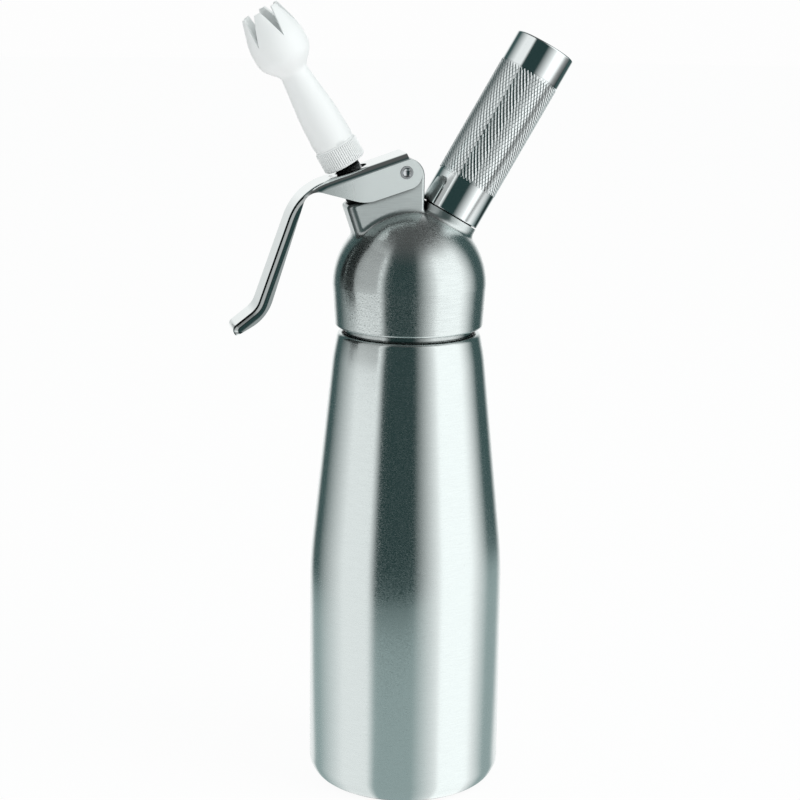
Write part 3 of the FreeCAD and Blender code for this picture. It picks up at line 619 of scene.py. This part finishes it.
class DISPENSER_OT_holder(bpy.types.Operator):
    """Makes the charger holder with its diamond knurl"""
    bl_idname = "dispenser.holder"
    bl_label = "Charger holder"

    def execute(self, context):
        sizes = context.scene.dispenser_sizes
        colours = context.scene.dispenser_colours
        # aluminium turned and polished: sharp bands of dark and light on the smooth ends, sparkle on the knurl
        finish = brushed_metal(
            "polished_aluminium", CHARGER, colours.polished, roughness=0.08, line=sizes.brush_line, depth=0.0004 * MM,
            streak=0.03, reach=0.2 * MM, sparkle=0.2)
        mesh = cad_copy("charger_holder", CHARGER)
        keep_half_outline(mesh)
        heights = [v.co.z for v in mesh.verts]
        radius = max(v.co.x for v in mesh.verts)
        band_low = min(heights) + sizes.knurl_start
        band_high = max(heights) - sizes.knurl_end
        self.cut_band(mesh, radius, band_low, band_high, sizes.knurl_depth)
        spin_round(mesh, HOLDER_STEPS)
        self.add_diamonds(mesh, radius, band_low, band_high, sizes)
        piece = finish_piece(mesh, "knurled_holder", CHARGER, "holder", finish, KNURL_SHARP)
        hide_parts("charger_holder")
        return {"FINISHED"}

    def cut_band(self, mesh, radius, low, high, depth):
        """Steps the outline in by the knurl's depth between the two heights."""
        for height in (low, high):
            everything = mesh.verts[:] + mesh.edges[:]
            bmesh.ops.bisect_plane(mesh, geom=everything, dist=1e-7, plane_co=(0, 0, height), plane_no=(0, 0, 1))
        wall = [v for v in mesh.verts if v.co.x > radius - 1e-5 and low - 1e-6 < v.co.z < high + 1e-6]
        edges = [e for e in mesh.edges if all(v in wall for v in e.verts)]
        band = bmesh.ops.extrude_edge_only(mesh, edges=edges)["geom"]
        moved = [g for g in band if isinstance(g, bmesh.types.BMVert)]
        bmesh.ops.translate(mesh, vec=(-depth, 0, 0), verts=moved)
        faces = [g for g in band if isinstance(g, bmesh.types.BMFace)]
        bmesh.ops.delete(mesh, geom=faces, context="FACES_ONLY")
        bmesh.ops.delete(mesh, geom=edges, context="EDGES")

    def add_diamonds(self, mesh, radius, low, high, sizes):
        """Rows of small pyramids, every second row turned by half a diamond."""
        count = sizes.knurl_count
        half_width = math.pi * radius / count
        half_height = half_width / math.tan(math.radians(KNURL_HELIX))
        sink = sizes.knurl_depth / 6
        foot = radius - sizes.knurl_depth - sink
        first = bmesh.ops.create_cone(
            mesh, cap_ends=True, segments=4, radius1=1, radius2=1, depth=1,
            matrix=Matrix.Translation((foot, 0, 0))
            @ Matrix.Diagonal((sizes.knurl_depth + sink, half_width, half_height, 1))
            @ Matrix.Rotation(math.pi / 2, 4, "Y") @ Matrix.Translation((0, 0, 0.5)))["verts"]
        top = [v for v in first if v.co.x > foot + sink]
        self.squeeze(mesh, top, sizes, half_width, half_height)
        bmesh.ops.translate(mesh, vec=(0, 0, low + half_height), verts=first)
        before = set(mesh.verts) - set(first)
        round_copies(mesh, self.geometry_of(first), count)
        ring = [v for v in mesh.verts if v not in before]
        rows = int((high - low - 2 * half_height) / half_height) + 1
        for row in range(1, rows):
            copied = bmesh.ops.duplicate(mesh, geom=self.geometry_of(ring))["geom"]
            ring = [g for g in copied if isinstance(g, bmesh.types.BMVert)]
            step = Matrix.Translation((0, 0, half_height)) @ Matrix.Rotation(math.pi / count, 4, "Z")
            bmesh.ops.transform(mesh, matrix=step, verts=ring)

    def squeeze(self, mesh, top, sizes, half_width, half_height):
        """Draws the top in: much across the leading grooves, little along them."""
        edges = Matrix(((1, 0, 0, 0), (0, -half_width, half_width, 0), (0, half_height, half_height, 0), (0, 0, 0, 1)))
        shares = Matrix.Diagonal((1, sizes.knurl_ridge, sizes.knurl_flat, 1))
        bmesh.ops.transform(mesh, matrix=edges @ shares @ edges.inverted(), verts=top)

    def geometry_of(self, verts):
        faces = {f for v in verts for f in v.link_faces}
        edges = {e for v in verts for e in v.link_edges}
        return list(verts) + list(edges) + list(faces)


# studio

CAMERA_PLACE = Vector((-158.0, -743.4, 330.6)) * MM
CAMERA_AZIMUTH = math.radians(11.765)
CAMERA_PITCH = math.radians(12.76)
CAMERA_ROLL = math.radians(0.74)
FOCAL_LENGTH = 87.27
SENSOR_WIDTH = 36
# how much cooler grey levels are than neutral, and the paper, wall and lamp levels, where 1 is white
SHADE_COOLNESS = 1.25
BACKDROP = (0.985, 0.985, 0.985, 1)
FILL_COLOUR = (0.93, 1.0, 0.99, 1)
FILL_LEVEL = 0.61
PAPER_GLOW = 0.95
PAPER_SHEEN = 0.05
# softbox: size, power, angle to the right of the camera, distance and height
SOFTBOX_SIZE = (1.2, 1.6)
SOFTBOX_POWER = 20.0
SOFTBOX_ANGLE = math.radians(65)
SOFTBOX_DISTANCE = 1.8
SOFTBOX_HEIGHT = 1.4
# how far out the paper is mirrored, and how much less far for each metre to the right
FLOOR_SPAN = 6.0
MIRRORED_FADE = (0.23, 0.33)
FLOOR_STRETCH = 0.43
BOTTLE_RADIUS = 39.0 * MM
# heights on the sky's sphere between which the ceiling darkens and the mirrored surroundings end below
CEILING_RISE = (0.55, 0.95)
CEILING_LEVEL = 0.1
LOW_EDGE = (-0.42, -0.37)
LOW_LEVEL = 0.30
FLOOR_LEAST = 0.45
CARD_FADE = 0.045
CARD_BLACK = (0.004, 0.005, 0.005, 1)
# name, share of light held back, angle to the right of the camera, distance, shift, low and high edge, width
CARDS = (
    ("black_card", 1.0, -118, 0.100, 0.040, 0.172, 0.300, 0.060),
    ("black_net", 0.52, -68, 0.125, 0.0, 0.162, 0.330, 0.120),
)
# panels round the white studio, in degrees to the right of the camera: left side, right side, width of each soft
# edge and grey level, where 1 is white
PANELS = (
    (-145, -130, 15, 50, 0.1),
    (-35, 10, 10, 30, 0.05),
    (45, 85, 5, 10, 1.3),
    (120, 145, 25, 20, 0.1),
)


def panel_stops(least):
    """Stops of a ramp round the studio: white, with each panel between its two soft edges."""
    stops = [(-180, 1.0)]
    for left, right, left_edge, right_edge, level in PANELS:
        level = max(level, least)
        stops += [(left - left_edge, 1.0), (left, level), (right, level), (right + right_edge, 1.0)]
    return stops + [(180, 1.0)]


class DISPENSER_OT_stage(bpy.types.Operator):
    """Makes the floor, the surroundings, the lamps and the camera"""
    bl_idname = "dispenser.stage"
    bl_label = "Stage"

    def execute(self, context):
        colours = context.scene.dispenser_colours
        self.make_camera(context)
        self.make_floor(colours)
        self.make_world(context)
        self.make_lamps(context)
        for card in CARDS:
            self.make_card(*card)
        context.scene.view_settings.view_transform = "Standard"
        return {"FINISHED"}

    def make_camera(self, context):
        camera = bpy.data.cameras.new("camera")
        camera.lens = FOCAL_LENGTH
        camera.sensor_width = SENSOR_WIDTH
        camera.clip_start = 0.01
        holder = bpy.data.objects.new("camera", camera)
        turn = Matrix.Rotation(-CAMERA_AZIMUTH, 4, "Z") @ Matrix.Rotation(math.pi / 2 - CAMERA_PITCH, 4, "X")
        holder.matrix_world = Matrix.Translation(CAMERA_PLACE) @ turn @ Matrix.Rotation(CAMERA_ROLL, 4, "Z")
        context.scene.collection.objects.link(holder)
        context.scene.camera = holder

    def make_floor(self, colours):
        """White paper with the part's shadow. Metal mirrors it near the part, where it glows with the panels' tones as
        painted light.
        """
        mesh = bmesh.new()
        bmesh.ops.create_circle(mesh, cap_ends=True, segments=96, radius=FLOOR_SPAN)
        data = bpy.data.meshes.new("floor")
        mesh.to_mesh(data)
        mesh.free()
        # matt coated paper: plain white with the part's shadow and a faint sheen; to reflected rays it glows with
        # painted light
        material, tree, shader = new_material("studio_paper")
        shader.inputs["Base Color"].default_value = colours.floor
        shader.inputs["Roughness"].default_value = 0.9
        path = add(tree, "ShaderNodeLightPath")
        glow = add(tree, "ShaderNodeEmission", {"Color": (1, 1, 1, 1), "Strength": 1.0})
        seen = add(tree, "ShaderNodeMixShader", {
            0: PAPER_GLOW, 1: shader.outputs["BSDF"], 2: glow.outputs["Emission"]})
        sheen = add(tree, "ShaderNodeBsdfGlossy", {"Color": (1, 1, 1, 1), "Roughness": 0.25})
        source = add(tree, "ShaderNodeTexCoord")
        distance = add(tree, "ShaderNodeVectorMath", {0: source.outputs["Object"]}, operation="LENGTH")
        angle = self.mirrored_angle(tree, source.outputs["Object"], distance.outputs["Value"])
        # painted light: to reflected rays the paper glows with the panels' tones instead of being lit
        lit = self.ramp(tree, angle, panel_stops(FLOOR_LEAST))
        paper = add(tree, "ShaderNodeEmission", {"Color": lit, "Strength": 1.0})
        near = add(tree, "ShaderNodeMixShader", {
            0: PAPER_SHEEN, 1: paper.outputs["Emission"], 2: sheen.outputs["BSDF"]})
        turn = math.atan2(CAMERA_PLACE.y, CAMERA_PLACE.x) + math.pi / 2
        right = (math.cos(turn) * FLOOR_STRETCH, math.sin(turn) * FLOOR_STRETCH, 0)
        aside = add(tree, "ShaderNodeVectorMath", {0: source.outputs["Object"], 1: right}, operation="DOT_PRODUCT")
        gained = add(tree, "ShaderNodeMath", {0: aside.outputs["Value"], 1: 0.0}, operation="MAXIMUM")
        reach = add(tree, "ShaderNodeMath", {
            0: distance.outputs["Value"], 1: gained.outputs["Value"]}, operation="SUBTRACT")
        beyond = add(tree, "ShaderNodeMapRange", {
            "Value": reach.outputs["Value"], "From Min": MIRRORED_FADE[0], "From Max": MIRRORED_FADE[1],
            "To Min": 0.0, "To Max": 1.0}, interpolation_type="SMOOTHSTEP")
        clear = add(tree, "ShaderNodeBsdfTransparent")
        mirrored = add(tree, "ShaderNodeMixShader", {
            0: beyond.outputs["Result"], 1: near.outputs["Shader"], 2: clear.outputs["BSDF"]})
        mix = add(tree, "ShaderNodeMixShader", {
            0: path.outputs["Is Glossy Ray"], 1: seen.outputs["Shader"], 2: mirrored.outputs["Shader"]})
        tree.links.new(mix.outputs["Shader"], tree.nodes["Material Output"].inputs["Surface"])
        data.materials.append(material)
        floor = bpy.data.objects.new("floor", data)
        bpy.context.scene.collection.objects.link(floor)

    def make_world(self, context):
        """White to the camera, a plain even light on the part, and the panels and ceiling in its metal."""
        world = bpy.data.worlds.new("studio")
        context.scene.world = world
        world.use_nodes = True
        tree = world.node_tree
        tree.nodes.clear()
        path = add(tree, "ShaderNodeLightPath")
        source = add(tree, "ShaderNodeTexCoord")
        angle = self.angle(tree, source.outputs["Generated"])
        height = add(tree, "ShaderNodeSeparateXYZ", {"Vector": source.outputs["Generated"]}).outputs["Z"]
        ceiling = add(tree, "ShaderNodeMapRange", {
            "Value": height, "From Min": CEILING_RISE[0], "From Max": CEILING_RISE[1], "To Min": 0.0, "To Max": 1.0},
            interpolation_type="SMOOTHSTEP").outputs["Result"]
        level = add(tree, "ShaderNodeMix", {
            "Factor": ceiling, 6: self.ramp(tree, angle, panel_stops(0.0)), 7: (CEILING_LEVEL,) * 3 + (1,)},
            data_type="RGBA").outputs[2]
        down = add(tree, "ShaderNodeMapRange", {
            "Value": height, "From Min": LOW_EDGE[0], "From Max": LOW_EDGE[1], "To Min": LOW_LEVEL, "To Max": 1.0},
            interpolation_type="SMOOTHSTEP").outputs["Result"]
        mirrored = add(tree, "ShaderNodeBackground", {"Color": level, "Strength": down})
        plain = add(tree, "ShaderNodeBackground", {"Color": FILL_COLOUR, "Strength": FILL_LEVEL})
        white = add(tree, "ShaderNodeBackground", {"Color": BACKDROP, "Strength": 1.0})
        lit = add(tree, "ShaderNodeMixShader", {
            0: path.outputs["Is Glossy Ray"], 1: plain.outputs["Background"], 2: mirrored.outputs["Background"]})
        seen = add(tree, "ShaderNodeMixShader", {
            0: path.outputs["Is Camera Ray"], 1: lit.outputs["Shader"], 2: white.outputs["Background"]})
        add(tree, "ShaderNodeOutputWorld", {"Surface": seen.outputs["Shader"]})

    def angle(self, tree, direction):
        """Place of a direction round the vertical, from 0 to 1 with the camera in the middle."""
        toward_camera = math.atan2(CAMERA_PLACE.y, CAMERA_PLACE.x)
        turned = add(tree, "ShaderNodeMapping", {"Vector": direction, "Rotation": (0, 0, -toward_camera)})
        round_about = add(tree, "ShaderNodeTexGradient", {"Vector": turned.outputs["Vector"]}, gradient_type="RADIAL")
        return round_about.outputs["Fac"]

    def mirrored_angle(self, tree, spot, distance):
        """Direction in which the bottle's wall mirrors a spot of the floor, so that upright bands stay upright."""
        share = add(tree, "ShaderNodeMath", {0: BOTTLE_RADIUS / 2, 1: distance}, operation="DIVIDE")
        left = add(tree, "ShaderNodeMath", {0: 1.0, 1: share.outputs["Value"]}, operation="SUBTRACT")
        aside = add(tree, "ShaderNodeMath", {0: self.angle(tree, spot), 1: 0.5}, operation="SUBTRACT")
        turned = add(tree, "ShaderNodeMath", {0: aside.outputs["Value"], 1: left.outputs["Value"]}, operation="DIVIDE")
        return add(tree, "ShaderNodeMath", {0: turned.outputs["Value"], 1: 0.5}, operation="ADD").outputs["Value"]

    def ramp(self, tree, factor, stops):
        """Grey levels round the studio, from angles in degrees to the right of the camera."""
        node = add(tree, "ShaderNodeValToRGB", {"Fac": factor})
        elements = node.color_ramp.elements
        for index, (angle, level) in enumerate(stops):
            place = angle / 360 + 0.5
            element = elements[index] if index < 2 else elements.new(place)
            element.position = place
            element.color = (min(level, level ** SHADE_COOLNESS), level, level, 1)
        return node.outputs["Color"]

    def make_lamps(self, context):
        lamp = bpy.data.lights.new("softbox", "AREA")
        lamp.shape = "RECTANGLE"
        lamp.size, lamp.size_y = SOFTBOX_SIZE
        lamp.energy = SOFTBOX_POWER
        place = bpy.data.objects.new("softbox", lamp)
        azimuth = math.atan2(CAMERA_PLACE.y, CAMERA_PLACE.x) + SOFTBOX_ANGLE
        spot = Vector((math.cos(azimuth) * SOFTBOX_DISTANCE, math.sin(azimuth) * SOFTBOX_DISTANCE, SOFTBOX_HEIGHT))
        aim = (Vector((0, 0, 150 * MM)) - spot).to_track_quat("-Z", "Y")
        place.matrix_world = Matrix.Translation(spot) @ aim.to_matrix().to_4x4()
        place.visible_glossy = False
        context.scene.collection.objects.link(place)

    def make_card(self, name, cover, azimuth, distance, shift, low, high, width):
        """A dark card or net beside the part, seen only in the part's metal."""
        mesh = bmesh.new()
        bmesh.ops.create_grid(mesh, x_segments=1, y_segments=1, size=0.5)
        away = math.atan2(CAMERA_PLACE.y, CAMERA_PLACE.x) + math.radians(azimuth)
        place = (Matrix.Rotation(away, 4, "Z") @ Matrix.Translation((distance, shift, (low + high) / 2))
                 @ Matrix.Rotation(math.pi / 2, 4, "Y") @ Matrix.Diagonal((high - low, width, 1, 1)))
        bmesh.ops.transform(mesh, matrix=place, verts=mesh.verts)
        data = bpy.data.meshes.new(name)
        mesh.to_mesh(data)
        mesh.free()
        # black studio cloth: no gloss, and thinned out at its low edge so that it ends softly
        material, tree, shader = new_material(name + "_cloth")
        shader.inputs["Base Color"].default_value = CARD_BLACK
        shader.inputs["Roughness"].default_value = 1.0
        shader.inputs["Specular IOR Level"].default_value = 0.0
        height = add(tree, "ShaderNodeSeparateXYZ", {"Vector": add(tree, "ShaderNodeTexCoord").outputs["Object"]})
        fade = add(tree, "ShaderNodeMapRange", {
            "Value": height.outputs["Z"], "From Min": low, "From Max": low + CARD_FADE, "To Min": 0.0, "To Max": cover},
            interpolation_type="SMOOTHSTEP")
        tree.links.new(fade.outputs["Result"], shader.inputs["Alpha"])
        data.materials.append(material)
        card = bpy.data.objects.new(name, data)
        card.visible_camera = False
        card.visible_diffuse = False
        card.visible_shadow = False
        bpy.context.scene.collection.objects.link(card)


class DISPENSER_PT_panel(bpy.types.Panel):
    """Lists the dispenser's pieces"""
    bl_idname = "DISPENSER_PT_panel"
    bl_label = "Whipped cream dispenser"
    bl_space_type = "VIEW_3D"
    bl_region_type = "UI"
    bl_category = "Dispenser"

    def draw(self, context):
        for operator in OPERATORS:
            self.layout.operator(operator.bl_idname)
        for group in (context.scene.dispenser_sizes, context.scene.dispenser_colours):
            box = self.layout.box()
            for name in group.bl_rna.properties.keys():
                if name not in ("rna_type", "name"):
                    box.prop(group, name)


OPERATORS = (
    DISPENSER_OT_bottle,
    DISPENSER_OT_head,
    DISPENSER_OT_lever,
    DISPENSER_OT_valve,
    DISPENSER_OT_tip,
    DISPENSER_OT_charger,
    DISPENSER_OT_holder,
    DISPENSER_OT_stage,
)
CLASSES = (DispenserSizes, DispenserColours) + OPERATORS + (DISPENSER_PT_panel,)


def register():
    for entry in CLASSES:
        bpy.utils.register_class(entry)
    bpy.types.Scene.dispenser_sizes = bpy.props.PointerProperty(type=DispenserSizes)
    bpy.types.Scene.dispenser_colours = bpy.props.PointerProperty(type=DispenserColours)


def unregister():
    del bpy.types.Scene.dispenser_colours
    del bpy.types.Scene.dispenser_sizes
    for entry in reversed(CLASSES):
        bpy.utils.unregister_class(entry)


def plain(box):
    """A box as plain lists of numbers."""
    return [list(corner) for corner in box]


def main():
    register()
    for operator in OPERATORS:
        category, name = operator.bl_idname.split(".")
        getattr(getattr(bpy.ops, category), name)()


if __name__ == "__main__":
    main()
